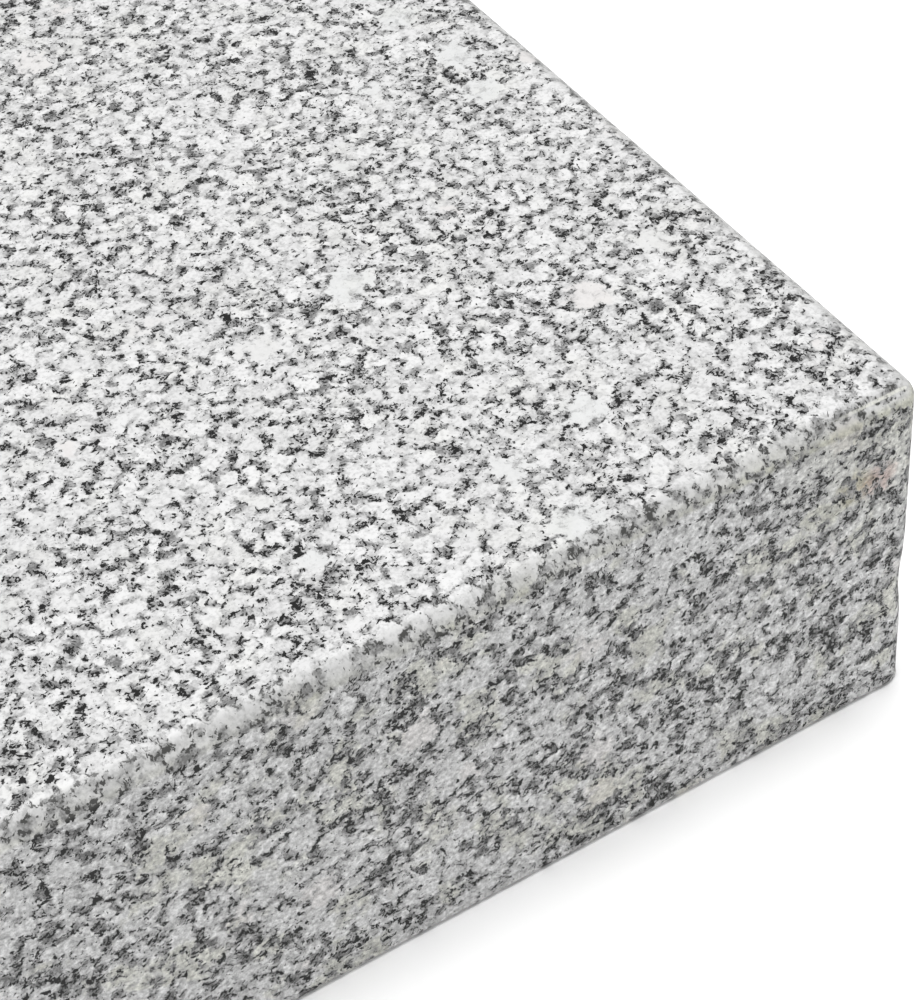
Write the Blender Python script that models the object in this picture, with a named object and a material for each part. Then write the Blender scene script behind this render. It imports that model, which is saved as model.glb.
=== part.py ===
"""Granite slab for leatherwork: one sawn block of pale grey granite with a honed work face.

The block lies on its sawn underside.  The origin is at the centre of the underside, X runs along
the length, Y across the width and Z up to the work face.  Sizes are in metres.
"""

import bmesh
import bpy

# The block
LENGTH = 0.305            # along X
WIDTH = 0.305             # along Y
THICKNESS = 0.051         # along Z, from the underside to the work face

# Radii of the arrises, the lines where two faces of the stone meet
TOP_ARRIS = 0.003         # the four round the work face, rubbed round so that they can't mark leather
UPRIGHT_ARRIS = 0.003     # the four upright corners
FOOT_ARRIS = 0.001        # the four round the underside, only dulled
ARRIS_SEGMENTS = 6        # flats that make up each rounded arris

# Granite, as a plain finish
GRANITE_COLOUR = (0.66, 0.66, 0.64, 1.0)
GRANITE_ROUGHNESS = 0.5

BEVEL_WEIGHT = "bevel_weight_edge"


def clear_scene():
    """Remove whatever the scene holds."""
    for thing in list(bpy.data.objects):
        bpy.data.objects.remove(thing, do_unlink=True)


def granite():
    """Pale grey granite: a mineral, so not metallic, and neither polished nor rough."""
    material = bpy.data.materials.new("granite")
    material.use_nodes = True
    surface = material.node_tree.nodes["Principled BSDF"]
    surface.inputs["Base Color"].default_value = GRANITE_COLOUR
    surface.inputs["Roughness"].default_value = GRANITE_ROUGHNESS
    surface.inputs["Metallic"].default_value = 0.0
    return material


def arris_radius(edge):
    """The radius that one edge of the sawn block is eased to."""
    start, end = (vertex.co.z for vertex in edge.verts)
    if start != end:
        return UPRIGHT_ARRIS
    return TOP_ARRIS if start > 0.0 else FOOT_ARRIS


def sawn_block():
    """The block as the saw leaves it, each edge carrying its arris radius as a bevel weight."""
    block = bmesh.new()
    bmesh.ops.create_cube(block, size=1.0)
    bmesh.ops.translate(block, vec=(0.0, 0.0, 0.5), verts=block.verts)
    bmesh.ops.scale(block, vec=(LENGTH, WIDTH, THICKNESS), verts=block.verts)
    weight = block.edges.layers.float.new(BEVEL_WEIGHT)
    largest = max(TOP_ARRIS, UPRIGHT_ARRIS, FOOT_ARRIS)
    for edge in block.edges:
        edge[weight] = arris_radius(edge) / largest
    mesh = bpy.data.meshes.new("granite_slab")
    block.to_mesh(mesh)
    block.free()
    return mesh


def granite_slab():
    """The finished slab: the sawn block with every arris rounded to its own radius."""
    slab = bpy.data.objects.new("granite_slab", sawn_block())
    bpy.context.scene.collection.objects.link(slab)
    slab.data.materials.append(granite())
    rounding = slab.modifiers.new("arrises", "BEVEL")
    rounding.limit_method = "WEIGHT"
    rounding.width = max(TOP_ARRIS, UPRIGHT_ARRIS, FOOT_ARRIS)
    rounding.segments = ARRIS_SEGMENTS
    return slab


clear_scene()
granite_slab()
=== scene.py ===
import math
import random

import bmesh
import bpy
from mathutils import Matrix, Vector, noise


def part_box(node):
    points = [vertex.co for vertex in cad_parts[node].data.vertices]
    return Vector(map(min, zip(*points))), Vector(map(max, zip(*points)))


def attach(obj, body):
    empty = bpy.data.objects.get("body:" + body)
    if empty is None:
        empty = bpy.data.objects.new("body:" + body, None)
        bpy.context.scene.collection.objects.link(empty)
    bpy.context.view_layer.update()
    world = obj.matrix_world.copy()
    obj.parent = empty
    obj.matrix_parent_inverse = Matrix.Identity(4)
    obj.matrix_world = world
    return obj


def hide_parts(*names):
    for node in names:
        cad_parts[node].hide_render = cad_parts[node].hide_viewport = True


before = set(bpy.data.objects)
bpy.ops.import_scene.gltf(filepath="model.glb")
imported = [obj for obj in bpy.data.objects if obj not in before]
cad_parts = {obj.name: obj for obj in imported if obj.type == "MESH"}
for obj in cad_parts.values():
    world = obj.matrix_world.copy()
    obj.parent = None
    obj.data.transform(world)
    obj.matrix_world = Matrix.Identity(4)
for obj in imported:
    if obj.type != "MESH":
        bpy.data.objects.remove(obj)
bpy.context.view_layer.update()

# ---------------------------------------------------------------- granite slab: shape
# One block of granite, sawn square with diamond wire.  The work face is ground and honed flat.
# The mason then rubs the arrises round by hand with a diamond pad, so they waver a little, and
# handling leaves a few small chips along them.

LOW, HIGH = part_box("granite_slab")
MM = 0.001

TOP_ARRIS = 3.0 * MM          # radius round the work face, the same as the slab's own
UPRIGHT_ARRIS = 3.0 * MM      # radius of the four upright corners
FOOT_ARRIS = 1.0 * MM         # radius round the underside
ARRIS_FLATS = 10              # flats that make up each rounding
CUT_STEP = 2.0 * MM           # spacing of the mesh along the slab
CUT_STEP_UP = 3.0 * MM        # and up its sides
WAVER = 0.28 * MM             # most that the hand rubbing takes off a rounded arris
WAVER_LENGTH = 22.0 * MM      # how far apart its highs and lows lie
STREAK_LENGTH = 16.0 * MM     # a stroke of the pad along an arris
STREAK_WIDTH = 1.6 * MM
FOOT_WAVER = 0.35             # the underside's small arrises waver less: their share of it
SAW_WAVER = 0.06 * MM         # most that the wire strays over a sawn side
SAW_WAVER_LENGTH = 35.0 * MM
RUB_LENGTH = 14.0 * MM        # the worn hollow in one upright corner
RUB_REACH = 6.0 * MM          # how far round the corner it runs
RUB_DEPTH = 0.45 * MM
RUB_HEIGHT = 18.0 * MM        # its middle, above the underside
STROKE_LENGTH = 14.0 * MM     # the groove of one hard stroke along the front arris, from the corner
STROKE_DEPTH = 0.18 * MM
STROKE_TILT = 36.0            # how far round the arris it lies, in degrees from the work face
STROKE_SPREAD = 4.0           # and how far it reaches to either side of that, in degrees


def sawn_block():
    """The block as sawn, cut into a fine grid, with each arris weighted for rounding to its own radius."""
    block = bmesh.new()
    bmesh.ops.create_cube(block, size=1.0)
    bmesh.ops.scale(block, vec=HIGH - LOW, verts=block.verts)
    bmesh.ops.translate(block, vec=(LOW + HIGH) / 2.0, verts=block.verts)
    margin = 4.0 * MM             # the grid stops here, clear of the arrises
    for axis, step in ((0, CUT_STEP), (1, CUT_STEP), (2, CUT_STEP_UP)):
        start, end = LOW[axis] + margin, HIGH[axis] - margin
        count = round((end - start) / step)
        normal = Vector((axis == 0, axis == 1, axis == 2))
        for i in range(count + 1):
            geometry = block.verts[:] + block.edges[:] + block.faces[:]
            point = normal * (start + (end - start) * i / count)
            bmesh.ops.bisect_plane(block, geom=geometry, dist=1e-6, plane_co=point, plane_no=normal)
    weight = block.edges.layers.float.new("bevel_weight_edge")
    for edge in block.edges:
        if edge.calc_face_angle() > 1.0:
            low, high = sorted(vertex.co.z for vertex in edge.verts)
            radius = UPRIGHT_ARRIS
            if low > HIGH.z - 1e-5:
                radius = TOP_ARRIS
            elif high < LOW.z + 1e-5:
                radius = FOOT_ARRIS
            edge[weight] = radius / TOP_ARRIS
    mesh = bpy.data.meshes.new("honed_granite_slab")
    block.to_mesh(mesh)
    block.free()
    return mesh


def hand_finish(slab):
    """Stray from the true block: wavering arrises, uneven sawn sides, one hollow and one groove.

    Every move is inward, so the slab stays inside its own box.
    """
    mesh = slab.data
    corner = Vector((HIGH.x, LOW.y))
    inward = Vector((-1.0, 1.0, 0.0)).normalized()
    normals = [vertex.normal.copy() for vertex in mesh.vertices]
    for vertex, normal in zip(mesh.vertices, normals):
        place = vertex.co.copy()
        steep = [abs(value) for value in normal]
        roundness = min((1.0 - max(steep)) / (1.0 - math.sqrt(0.5)), 1.0)
        along = steep.index(min(steep))
        sizes = [STREAK_LENGTH if i == along else STREAK_WIDTH for i in range(3)]
        streak = Vector([place[i] / sizes[i] for i in range(3)])
        drift = 0.5 + 0.5 * noise.noise(place / WAVER_LENGTH)
        rubbed = 0.6 * drift + 0.4 * abs(noise.noise(streak))
        size = FOOT_WAVER if place.z < UPRIGHT_ARRIS else 1.0
        vertex.co -= normal * WAVER * roundness * rubbed * size
        if roundness < 0.01 and steep[2] < 0.5:
            vertex.co -= normal * SAW_WAVER * (0.5 + 0.5 * noise.noise(place / SAW_WAVER_LENGTH))
        near = (place.xy - corner).length / RUB_REACH
        level = abs(place.z - RUB_HEIGHT) / (RUB_LENGTH / 2.0)
        if near < 1.0 and level < 1.0:
            fade = math.cos(near * math.pi / 2.0) * math.cos(level * math.pi / 2.0) ** 2
            vertex.co += inward * RUB_DEPTH * fade
        tilt = math.degrees(normal.angle(Vector((0.0, 0.0, 1.0))))
        left = (HIGH.x - place.x) / STROKE_LENGTH
        on_front = place.y < LOW.y + TOP_ARRIS
        if on_front and abs(tilt - STROKE_TILT) < STROKE_SPREAD and left < 1.0:
            vertex.co -= normal * STROKE_DEPTH * math.sqrt(1.0 - left)
    mesh.update()


CHIPS = 30                    # small breaks, most of them round the underside
CHIP_RADIUS = (0.6 * MM, 1.6 * MM)
CHIP_DEPTH = (0.12 * MM, 0.40 * MM)
CHIP_GAP = 9.0 * MM           # least distance between two chips


def chip_cutters():
    """Rough little balls that sit half off the arrises and bite a shallow scoop out of each place."""
    rng = random.Random(11)
    cutters = bmesh.new()
    taken = []
    while len(taken) < CHIPS:
        along = rng.choice((0, 0, 1, 1, 2))
        across = [i for i in range(3) if i != along]
        point = Vector((0.0, 0.0, 0.0))
        outward = Vector((0.0, 0.0, 0.0))
        for i in across:
            high_side = rng.random() < (0.25 if i == 2 else 0.5)
            point[i] = HIGH[i] if high_side else LOW[i]
            outward[i] = 1.0 if high_side else -1.0
        point[along] = rng.uniform(LOW[along] + 6.0 * MM, HIGH[along] - 6.0 * MM)
        outward.normalize()
        radius = rng.uniform(*CHIP_RADIUS)
        depth = rng.uniform(*CHIP_DEPTH)
        stretch = rng.uniform(1.2, 2.2)
        if any((point - other).length < CHIP_GAP for other in taken):
            continue
        taken.append(point)
        arris = TOP_ARRIS if outward.z > 0.0 else FOOT_ARRIS
        if along == 2:
            arris = UPRIGHT_ARRIS
        skin = arris * (math.sqrt(2.0) - 1.0)
        centre = point + outward * (radius - depth - skin)
        made = bmesh.ops.create_icosphere(cutters, subdivisions=2, radius=radius)["verts"]
        for vertex in made:
            vertex.co *= 1.0 + 0.22 * noise.noise(vertex.co / (0.5 * MM) + point / MM)
        longer = Matrix.Diagonal([stretch if i == along else 1.0 for i in range(3)]).to_4x4()
        bmesh.ops.transform(cutters, matrix=Matrix.Translation(centre) @ longer, verts=made)
    mesh = bpy.data.meshes.new("chip_cutters")
    cutters.to_mesh(mesh)
    cutters.free()
    return mesh


def settled(piece):
    """Turn the piece's modifiers into plain mesh."""
    graph = bpy.context.evaluated_depsgraph_get()
    finished = bpy.data.meshes.new_from_object(piece.evaluated_get(graph))
    piece.modifiers.clear()
    piece.data = finished


slab = bpy.data.objects.new("honed_granite_slab", sawn_block())
bpy.context.scene.collection.objects.link(slab)
rounding = slab.modifiers.new("arrises", "BEVEL")
rounding.limit_method = "WEIGHT"
rounding.width = TOP_ARRIS
rounding.segments = ARRIS_FLATS
settled(slab)
hand_finish(slab)

cutters = bpy.data.objects.new("chip_cutters", chip_cutters())
bpy.context.scene.collection.objects.link(cutters)
chipping = slab.modifiers.new("chips", "BOOLEAN")
chipping.operation = "DIFFERENCE"
chipping.solver = "EXACT"
chipping.object = cutters
settled(slab)
bpy.data.objects.remove(cutters)
slab.data.shade_smooth()
slab.data.set_sharp_from_angle(angle=math.radians(38.0))   # crisp round the chips, smooth elsewhere

# ---------------------------------------------------------------- granite slab: flat layout
# A flat layout of the slab's skin for baked textures.  The work face and the four sides share one
# scale, as large as they go, and the underside is smaller.  The stone's own pattern doesn't read it.

LAYOUT_GAP = 0.006            # between two sides, as a share of the texture
SPAN = HIGH.x - LOW.x
RISE = HIGH.z - LOW.z
FINE = (1.0 - 4.0 * LAYOUT_GAP) / (SPAN + 2.0 * RISE)       # shares of the texture per metre
SECOND = 2.0 * LAYOUT_GAP + SPAN * FINE                     # where the second strip starts
THIRD = SECOND + LAYOUT_GAP + RISE * FINE
COARSE = (1.0 - LAYOUT_GAP - SECOND) / SPAN
# each side's axis and sign, then the axis, direction and start of its u and of its v, then its scale
SIDES = (
    (2, 1, (0, 1, LAYOUT_GAP), (1, 1, LAYOUT_GAP), FINE),      # the work face
    (1, -1, (2, 1, SECOND), (0, -1, LAYOUT_GAP), FINE),        # the front
    (1, 1, (2, 1, THIRD), (0, 1, LAYOUT_GAP), FINE),           # the back
    (0, 1, (1, 1, LAYOUT_GAP), (2, 1, SECOND), FINE),          # the right side
    (0, -1, (1, -1, LAYOUT_GAP), (2, 1, THIRD), FINE),         # the left side
    (2, -1, (0, 1, SECOND), (1, -1, SECOND), COARSE),          # the underside
)


def run(point, axis, way):
    """How far a point lies from the low side of the slab along an axis, or from the high side."""
    return point[axis] - LOW[axis] if way > 0 else HIGH[axis] - point[axis]


layout = slab.data.uv_layers.new(name="OFBake").data
for face in slab.data.polygons:
    nearest = min(SIDES, key=lambda side: run(face.center, side[0], -side[1]))
    starts, scale = nearest[2:4], nearest[4]
    for corner in face.loop_indices:
        point = slab.data.vertices[slab.data.loops[corner].vertex_index].co
        layout[corner].uv = [start + run(point, axis, way) * scale for axis, way, start in starts]

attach(slab, "root")
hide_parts("granite_slab")

# ---------------------------------------------------------------- granite slab: stone
# Pale grey granite: white feldspar crystals, soft grey quartz between them and black mica in small
# flakes and chains.  The honed face shows the minerals crisp and bright, the sawn ones are dustier.


def srgb(code):
    """A linear colour from an sRGB hex code."""
    channels = [int(code[i:i + 2], 16) / 255.0 for i in (0, 2, 4)]
    return (*[c / 12.92 if c <= 0.04045 else ((c + 0.055) / 1.055) ** 2.4 for c in channels], 1.0)


# the minerals, as a cut face shows them
FELDSPAR_LIGHT = srgb("D3D3D3")
FELDSPAR_DULL = srgb("ABABAB")
QUARTZ = srgb("A5A5A5")
QUARTZ_DEEP = srgb("686868")
MICA = srgb("0C0C0C")
MICA_THIN = srgb("484848")    # where a flake thins out and the stone shows through
STONE_DUST = srgb("7E7E7B")
CRUSHED = srgb("D6D6CE")      # crushed grains in the groove

# tints, which multiply the feldspar's own grey
CREAM = srgb("F3F3E3")
PINK = srgb("F8F1EE")
ICE = srgb("F2F5F4")
ROSE = srgb("EDD8D5")
OCHRE = srgb("EEE9D4")

# sizes and places, in millimetres
CRYSTAL = 3.1                 # a feldspar crystal across
PATCH = 1.65                  # a patch of quartz across
CLOUD = 7.0                   # where quartz and mica are rich or poor
STAIN = 6.0                   # a patch of cream feldspar across
MOTTLE = 0.55                 # the mottling inside a crystal
WANDER = 1.5                  # the noise that makes grain outlines ragged
WANDER_REACH = 2.4            # and how far it pushes them
FLAKE = 0.45                  # a mica flake's spacing where mica is rich
FLECK = 0.30                  # the smallest dark flecks
LATH = (0.28, 0.75, 0.75)     # a mica lath's width, and its length in its own plane
LARGE_SPACING = 12.0          # spacing of the large crystals
LARGE_CRYSTAL = 0.30          # their radius, as a share of that spacing
TORN_GRAIN = 0.70             # grains that the wire tore out of a sawn face
TORN_DEPTH = 0.04             # and how deep
CORNER = (HIGH.x / MM, LOW.y / MM, HIGH.z / MM)
CORNER_CREAM = (8.0, 28.0)    # the cream round that corner fades out between these distances
CORNER_RUB = (15.0, 60.0)     # and so does the cream along the rubbed arrises
GROOVE_RADIUS = 2.72          # from the arris's centre line to the floor of the groove
GROOVE = (0.0, (LOW.y + TOP_ARRIS) / MM - GROOVE_RADIUS * math.sin(math.radians(STROKE_TILT)),
          (HIGH.z - TOP_ARRIS) / MM + GROOVE_RADIUS * math.cos(math.radians(STROKE_TILT)))
PINK_SPOT = (HIGH.x / MM - 6.3, LOW.y / MM, HIGH.z / MM - 12.2)
OCHRE_SPOT = (HIGH.x / MM - 9.8, LOW.y / MM, HIGH.z / MM - 11.6)
SPOT_RADIUS = 3.4

stone = bpy.data.materials.new("granite_honed_and_sawn")
stone.use_nodes = True
tree = stone.node_tree
surface = tree.nodes["Principled BSDF"]


def add(kind, settings, inputs):
    """Add a node to the granite with its settings, and its inputs as values or as sockets to link."""
    made = tree.nodes.new(kind)
    for name, value in settings.items():
        setattr(made, name, value)
    for name, value in inputs.items():
        if isinstance(value, bpy.types.NodeSocket):
            tree.links.new(value, made.inputs[name])
        else:
            made.inputs[name].default_value = value
    return made


MATH = "ShaderNodeMath"
VECTOR = "ShaderNodeVectorMath"
NOISE = "ShaderNodeTexNoise"
VORONOI = "ShaderNodeTexVoronoi"
RANGE = "ShaderNodeMapRange"
MIX = "ShaderNodeMix"
SPLIT = "ShaderNodeSeparateColor"
PLUS = {"operation": "ADD"}
MINUS = {"operation": "SUBTRACT"}
TIMES = {"operation": "MULTIPLY"}
TIMES_PLUS = {"operation": "MULTIPLY_ADD"}
APART = {"operation": "DISTANCE"}
SOFT = {"interpolation_type": "SMOOTHSTEP"}
COLOUR = {"data_type": "RGBA"}
TINT = {"data_type": "RGBA", "blend_type": "MULTIPLY"}

# the slab's own coordinates, in millimetres
metres = add("ShaderNodeTexCoord", {}, {}).outputs["Object"]
mm = add("ShaderNodeMapping", {}, {"Vector": metres, "Scale": (1000.0, 1000.0, 1000.0)}).outputs[0]

# which faces are sawn, which is honed, and the rubbed arrises between them
surface_normal = add("ShaderNodeNewGeometry", {}, {}).outputs["Normal"]
facing = add("ShaderNodeSeparateXYZ", {}, {0: surface_normal}).outputs[2]
sawn = add(RANGE, SOFT, {"Value": facing, 1: 0.25, 2: 0.85, 3: 1.0, 4: 0.0}).outputs[0]
off_side = add(RANGE, SOFT, {"Value": facing, 1: 0.04, 2: 0.35, 3: 0.0, 4: 1.0}).outputs[0]
off_top = add(RANGE, SOFT, {"Value": facing, 1: 0.93, 2: 0.998, 3: 1.0, 4: 0.0}).outputs[0]
rubbed = add(MATH, TIMES, {0: off_side, 1: off_top}).outputs[0]

# grain outlines wander: every crystal pattern reads coordinates that a noise pushes about
wander = add(NOISE, {}, {"Vector": mm, "Scale": 1 / WANDER, "Detail": 3.0, "Roughness": 0.6})
centred = add(VECTOR, MINUS, {0: wander.outputs["Color"], 1: (0.5, 0.5, 0.5)}).outputs[0]
pushed = add(VECTOR, {"operation": "SCALE"}, {0: centred, "Scale": WANDER_REACH}).outputs[0]
ragged = add(VECTOR, PLUS, {0: mm, 1: pushed}).outputs[0]

# feldspar: blocky crystals, each with its own tone and its own direction of cleavage
crystal = add(VORONOI, {}, {"Vector": ragged, "Scale": 1 / CRYSTAL})
crystal_luck = add(SPLIT, {}, {0: crystal.outputs["Color"]})
to_edge = add(VORONOI, {"feature": "DISTANCE_TO_EDGE"}, {"Vector": ragged, "Scale": 1 / CRYSTAL})
edge = to_edge.outputs["Distance"]
seam = add(RANGE, SOFT, {"Value": edge, 1: 0.0, 2: 0.14, 3: 1.0, 4: 0.0}).outputs[0]
core = add(RANGE, SOFT, {"Value": edge, 1: 0.06, 2: 0.34, 3: 0.03, 4: -0.07}).outputs[0]
turn = add(MATH, TIMES, {0: crystal_luck.outputs[2], 1: math.tau}).outputs[0]
cleavage = {"Vector": mm, "Axis": (0.4, 0.5, 0.77), "Angle": turn}
turned = add("ShaderNodeVectorRotate", {}, cleavage).outputs[0]
lath_scale = tuple(1 / length for length in LATH)
lath = add("ShaderNodeMapping", {}, {"Vector": turned, "Scale": lath_scale}).outputs[0]

# clouds some millimetres across, where quartz and mica are rich or poor
cloud = add(NOISE, {}, {"Vector": mm, "Scale": 1 / CLOUD, "Detail": 1.0}).outputs[0]
rich = add(RANGE, {}, {"Value": cloud, 1: 0.35, 2: 0.65, 3: -0.028, 4: 0.028}).outputs[0]

# quartz fills the gaps between the crystals in soft grey patches, deeper in their middles
patch = add(NOISE, {}, {"Vector": ragged, "Scale": 1 / PATCH, "Detail": 2.5, "Roughness": 0.55}).outputs[0]
gap = add(MATH, PLUS, {0: core, 1: patch}).outputs[0]
gap_rich = add(MATH, PLUS, {0: gap, 1: rich}).outputs[0]
quartz = add(RANGE, SOFT, {"Value": gap_rich, 1: 0.438, 2: 0.618, 3: 0.0, 4: 1.0}).outputs[0]
deep = add(RANGE, SOFT, {"Value": gap_rich, 1: 0.54, 2: 0.73, 3: 0.0, 4: 0.8}).outputs[0]

# mica: chains of small flakes along the seams and in the quartz
flake = add(VORONOI, {}, {"Vector": ragged, "Scale": 1 / FLAKE})
flake_luck = add(SPLIT, {}, {0: flake.outputs["Color"]})
grit = add(NOISE, {}, {"Vector": mm, "Scale": 1 / FLECK, "Detail": 1.0}).outputs[0]
odds = add(MATH, TIMES_PLUS, {0: quartz, 1: 0.272, 2: -0.005}).outputs[0]
odds_seam = add(MATH, TIMES_PLUS, {0: seam, 1: 0.13, 2: odds}).outputs[0]
odds_rich = add(MATH, TIMES_PLUS, {0: rich, 1: 1.0, 2: odds_seam}).outputs[0]
chance = add(MATH, MINUS, {0: odds_rich, 1: flake_luck.outputs[0]}).outputs[0]
chance_grit = add(MATH, TIMES_PLUS, {0: grit, 1: 0.42, 2: chance}).outputs[0]
thin = add(RANGE, SOFT, {"Value": chance_grit, 1: 0.13, 2: 0.25, 3: 0.0, 4: 0.45}).outputs[0]
flakes = add(RANGE, SOFT, {"Value": chance_grit, 1: 0.235, 2: 0.310, 3: 0.0, 4: 1.0}).outputs[0]

# and laths along each crystal's cleavage
needle = add(NOISE, {}, {"Vector": lath, "Scale": 1.0, "Detail": 1.5, "Roughness": 0.5}).outputs[0]
needle_odds = add(MATH, TIMES_PLUS, {0: quartz, 1: 0.10, 2: needle}).outputs[0]
needle_rich = add(MATH, TIMES_PLUS, {0: rich, 1: 0.4, 2: needle_odds}).outputs[0]
needles = add(RANGE, SOFT, {"Value": needle_rich, 1: 0.67, 2: 0.745, 3: 0.0, 4: 1.0}).outputs[0]
mica = add(MATH, {"operation": "MAXIMUM"}, {0: flakes, 1: needles}).outputs[0]

# large pale crystals, few and far between, smooth inside, some faintly pink and some faintly icy
large = add(VORONOI, {}, {"Vector": ragged, "Scale": 1 / LARGE_SPACING})
large_luck = add(SPLIT, {}, {0: large.outputs["Color"]})
reach = add(MATH, TIMES, {0: large_luck.outputs[0], 1: LARGE_CRYSTAL}).outputs[0]
inside = add(MATH, MINUS, {0: reach, 1: large.outputs["Distance"]}).outputs[0]
inside_ragged = add(MATH, TIMES_PLUS, {0: patch, 1: -0.45, 2: inside}).outputs[0]
large_core = add(RANGE, SOFT, {"Value": inside_ragged, 1: -0.26, 2: -0.17, 3: 0.0, 4: 1.0}).outputs[0]
block_mask = add(RANGE, {}, {"Value": large_core, 3: 1.0, 4: 0.15}).outputs[0]
quartz_left = add(MATH, TIMES, {0: quartz, 1: block_mask}).outputs[0]
thin_left = add(MATH, TIMES, {0: thin, 1: block_mask}).outputs[0]
mica_left = add(MATH, TIMES, {0: mica, 1: block_mask}).outputs[0]

# feldspar's colour: each crystal a little lighter or duller, duller at its seams
mottle = add(NOISE, {}, {"Vector": mm, "Scale": 1 / MOTTLE, "Detail": 2.0, "Roughness": 0.6}).outputs[0]
mottle_wide = add(RANGE, {}, {"Value": mottle, 1: 0.46, 2: 0.86, 3: 0.0, 4: 1.0}).outputs[0]
tone = add(MATH, TIMES_PLUS, {0: crystal_luck.outputs[0], 1: 0.30, 2: mottle_wide}).outputs[0]
seam_tone = add(MATH, TIMES_PLUS, {0: seam, 1: 0.30, 2: tone}).outputs[0]
calm = add(MATH, TIMES, {0: large_core, 1: 0.75}).outputs[0]
smooth_tone = add(MIX, {}, {0: calm, 2: seam_tone, 3: 0.12}).outputs[0]
feldspar = add(MIX, COLOUR, {0: smooth_tone, 6: FELDSPAR_LIGHT, 7: FELDSPAR_DULL}).outputs[2]

# tints: cream patches on the sawn faces and along the arrises, where the stone isn't ground clean
stain = add(NOISE, {}, {"Vector": ragged, "Scale": 1 / STAIN, "Detail": 2.0, "Roughness": 0.5}).outputs[0]
stained = add(RANGE, SOFT, {"Value": stain, 1: 0.53, 2: 0.65, 3: 0.0, 4: 1.0}).outputs[0]
stain_share = add(RANGE, {}, {"Value": sawn, 3: 0.1, 4: 0.55}).outputs[0]
stain_here = add(MATH, TIMES, {0: stained, 1: stain_share}).outputs[0]
rubbed_low = add(MATH, TIMES, {0: rubbed, 1: sawn}).outputs[0]
from_corner = add(VECTOR, APART, {0: ragged, 1: CORNER}).outputs["Value"]
by_corner_fade = {"Value": from_corner, 1: CORNER_RUB[0], 2: CORNER_RUB[1], 3: 0.85, 4: 0.4}
by_corner = add(RANGE, SOFT, by_corner_fade).outputs[0]
corner_fade = {"Value": from_corner, 1: CORNER_CREAM[0], 2: CORNER_CREAM[1], 3: 0.4, 4: 0.0}
corner_cream = add(RANGE, SOFT, corner_fade).outputs[0]
cream_here = add(MATH, TIMES_PLUS, {0: corner_cream, 1: sawn, 2: stain_here}).outputs[0]
cream_share = add(MATH, TIMES_PLUS, {0: rubbed_low, 1: by_corner, 2: cream_here}).outputs[0]
tinted = add(MIX, TINT, {0: cream_share, 6: feldspar, 7: CREAM}).outputs[2]
large_hue = add(RANGE, SOFT, {"Value": large_luck.outputs[1], 1: 0.35, 2: 0.65, 3: 0.0, 4: 1.0}).outputs[0]
large_tint = add(MIX, COLOUR, {0: large_hue, 6: PINK, 7: ICE}).outputs[2]
large_share = add(MATH, TIMES, {0: large_core, 1: 0.4}).outputs[0]
grown = add(MIX, TINT, {0: large_share, 6: tinted, 7: large_tint}).outputs[2]

# one pink crystal with an ochre one beside it, on the front just under the right corner
coloured = grown
for spot, tint in ((PINK_SPOT, ROSE), (OCHRE_SPOT, OCHRE)):
    apart = add(VECTOR, APART, {0: ragged, 1: spot}).outputs["Value"]
    spot_fade = {"Value": apart, 1: 0.4 * SPOT_RADIUS, 2: SPOT_RADIUS, 3: 0.9, 4: 0.0}
    share = add(RANGE, SOFT, spot_fade).outputs[0]
    coloured = add(MIX, TINT, {0: share, 6: coloured, 7: tint}).outputs[2]

# the darker minerals over it
grain = add(RANGE, {}, {"Value": grit, 1: 0.35, 2: 0.65, 3: -0.05, 4: 0.5}).outputs[0]
dusk = add(MATH, PLUS, {0: deep, 1: grain}).outputs[0]
quartz_tone = add(MIX, COLOUR, {0: dusk, 6: QUARTZ, 7: QUARTZ_DEEP}).outputs[2]
with_quartz = add(MIX, COLOUR, {0: quartz_left, 6: coloured, 7: quartz_tone}).outputs[2]
with_thin = add(MIX, COLOUR, {0: thin_left, 6: with_quartz, 7: MICA_THIN}).outputs[2]
with_mica = add(MIX, COLOUR, {0: mica_left, 6: with_thin, 7: MICA}).outputs[2]

# a sawn face is matt and torn grain by grain, with painted shade in its pits and painted light on its
# ridges, and a rubbed arris keeps a film of stone dust
torn = add(NOISE, {}, {"Vector": mm, "Scale": 1 / TORN_GRAIN, "Detail": 3.0, "Roughness": 0.75}).outputs[0]
# painted relief shade: the torn-grain noise darkens the sawn faces where the bump dips and lightens them
# where it rises
painted_relief_shade = add(RANGE, {}, {"Value": torn, 1: 0.34, 2: 0.66, 3: 0.65, 4: 1.35}).outputs[0]
with_painted_relief_shade = add(MIX, TINT, {0: sawn, 6: with_mica, 7: painted_relief_shade}).outputs[2]
dusty = add(MATH, TIMES, {0: sawn, 1: 0.05}).outputs[0]
film = add(MATH, TIMES_PLUS, {0: rubbed, 1: 0.24, 2: dusty}).outputs[0]
finish = add(MIX, COLOUR, {0: film, 6: with_painted_relief_shade, 7: STONE_DUST}).outputs[2]

# crushed grains whiten the groove of the hard stroke by the corner
section = add(VECTOR, TIMES, {0: mm, 1: (0.0, 1.0, 1.0)}).outputs[0]
off_groove = add(VECTOR, APART, {0: section, 1: GROOVE}).outputs["Value"]
in_groove = add(RANGE, SOFT, {"Value": off_groove, 1: 0.12, 2: 0.31, 3: 0.8, 4: 0.0}).outputs[0]
sideways = add("ShaderNodeSeparateXYZ", {}, {0: mm}).outputs[0]
groove_end = CORNER[0] - STROKE_LENGTH / MM
groove_full = CORNER[0] - STROKE_LENGTH / MM / 2.0
groove_fade = add(RANGE, {}, {"Value": sideways, 1: groove_end, 2: groove_full, 3: 0.0, 4: 1.0}).outputs[0]
broken = add(RANGE, SOFT, {"Value": grit, 1: 0.34, 2: 0.52, 3: 0.35, 4: 1.0}).outputs[0]
groove_near = add(MATH, TIMES, {0: in_groove, 1: groove_fade}).outputs[0]
crushed = add(MATH, TIMES, {0: groove_near, 1: broken}).outputs[0]
skin = add(MIX, COLOUR, {0: crushed, 6: finish, 7: CRUSHED}).outputs[2]
tree.links.new(skin, surface.inputs["Base Color"])

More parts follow.
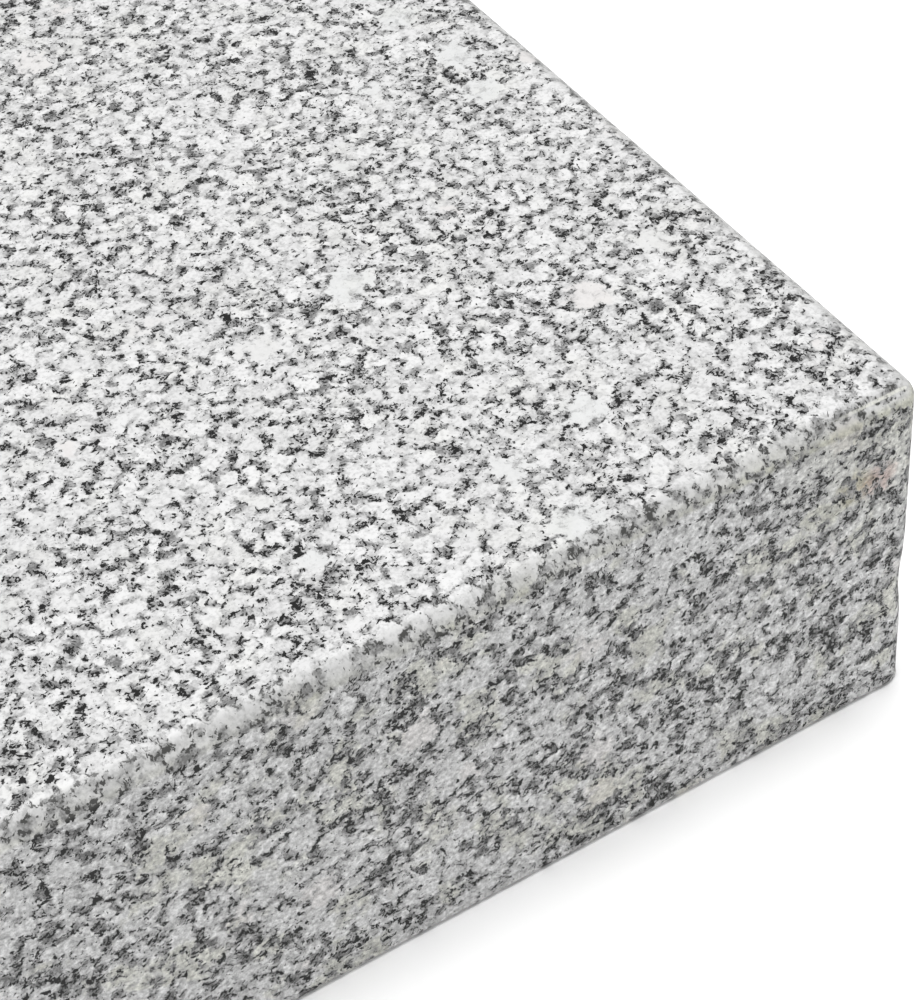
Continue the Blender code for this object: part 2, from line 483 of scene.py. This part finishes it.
# the honed face has a low sheen, the sawn ones none, and torn grains stand in relief
rough = add(RANGE, {}, {"Value": sawn, 3: 0.42, 4: 0.8}).outputs[0]
rough_mineral = add(MATH, TIMES_PLUS, {0: quartz_left, 1: -0.08, 2: rough}).outputs[0]
tree.links.new(rough_mineral, surface.inputs["Roughness"])

relief = add(RANGE, {}, {"Value": sawn, 3: 0.10, 4: 1.0}).outputs[0]
height = add(MATH, TIMES, {0: torn, 1: relief}).outputs[0]
bumps = add("ShaderNodeBump", {}, {"Strength": 1.0, "Distance": TORN_DEPTH * MM, "Height": height})
tree.links.new(bumps.outputs[0], surface.inputs["Normal"])
surface.inputs["Specular IOR Level"].default_value = 0.32
slab.data.materials.append(stone)

# ---------------------------------------------------------------- floor
# A sheet of white paper under the slab, wide enough to fill the view behind it.  It belongs to the
# studio and not to the slab.

bare_floor = bmesh.new()
bmesh.ops.create_grid(bare_floor, x_segments=1, y_segments=1, size=3.0)
floor_mesh = bpy.data.meshes.new("floor")
bare_floor.to_mesh(floor_mesh)
bare_floor.free()
floor = bpy.data.objects.new("floor", floor_mesh)
bpy.context.scene.collection.objects.link(floor)
paper = bpy.data.materials.new("white_paper")
paper.use_nodes = True
paper.node_tree.nodes["Principled BSDF"].inputs["Base Color"].default_value = srgb("FBFBFB")
paper.node_tree.nodes["Principled BSDF"].inputs["Roughness"].default_value = 0.9
floor_mesh.materials.append(paper)

# ---------------------------------------------------------------- studio light and camera
# An even white room, with one broad soft lamp overhead that makes the work face the brightest.

world = bpy.data.worlds.new("studio")
bpy.context.scene.world = world
world.use_nodes = True
world.node_tree.nodes["Background"].inputs["Color"].default_value = (1.0, 1.0, 1.0, 1.0)
world.node_tree.nodes["Background"].inputs["Strength"].default_value = 0.58

lamp = bpy.data.lights.new("overhead", "AREA")
lamp.shape = "DISK"
lamp.size = 0.8
lamp.energy = 15.3
overhead = bpy.data.objects.new("overhead", lamp)
overhead.location = (0.15, -0.1, 1.3)
bpy.context.scene.collection.objects.link(overhead)

# the camera stands left of the front right corner and looks down at it, a little rolled
AIM = Vector((HIGH.x - 54.3 * MM, LOW.y + 14.5 * MM, HIGH.z))
DISTANCE = 301.2 * MM
AZIMUTH = math.radians(-27.9)
ELEVATION = math.radians(44.2)
ROLL = math.radians(-5.17)
LENS = 96.72                  # focal length in millimetres, on a 36 mm frame
lens = bpy.data.cameras.new("camera")
lens.sensor_width = 36.0
lens.lens = LENS
lens.clip_start = 0.01
camera = bpy.data.objects.new("camera", lens)
towards = Matrix.Rotation(AZIMUTH, 4, "Z") @ Matrix.Rotation(math.pi / 2.0 - ELEVATION, 4, "X")
back = Matrix.Translation((0.0, 0.0, DISTANCE))
camera.matrix_world = Matrix.Translation(AIM) @ towards @ Matrix.Rotation(ROLL, 4, "Z") @ back
bpy.context.scene.collection.objects.link(camera)
bpy.context.scene.camera = camera
bpy.context.scene.view_settings.view_transform = "Standard"
